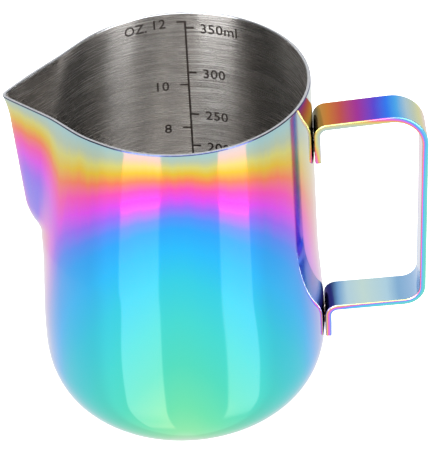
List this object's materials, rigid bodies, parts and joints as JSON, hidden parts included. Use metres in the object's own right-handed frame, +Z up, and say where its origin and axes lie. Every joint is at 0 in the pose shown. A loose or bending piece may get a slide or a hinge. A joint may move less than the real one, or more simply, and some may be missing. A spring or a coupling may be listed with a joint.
{
  "type": "milk frothing pitcher",
  "caption": "Drawn steel milk jug with a pressed V pouring spout and a flat strap handle spot-welded to its round wall.",
  "frame": {"origin": "centre of the foot, on the surface the pitcher stands on", "axes": "+Z up along the body's axis, +X from the axis towards the handle, -X towards the spout"},
  "size_m": [0.1067, 0.0754, 0.095],
  "materials": {
    "rainbow_steel": "mirror-polished stainless steel with a rainbow titanium coating; brushed bare steel inside",
    "handle_steel": "polished stainless strap with a rainbow titanium coating",
    "weld_metal": "fused stainless steel"
  },
  "bodies": {
    "root": {"pitcher_body": "rainbow_steel", "handle_strap": "handle_steel", "upper_spot_welds": "weld_metal", "lower_spot_welds": "weld_metal"}
  },
  "joints": []
}
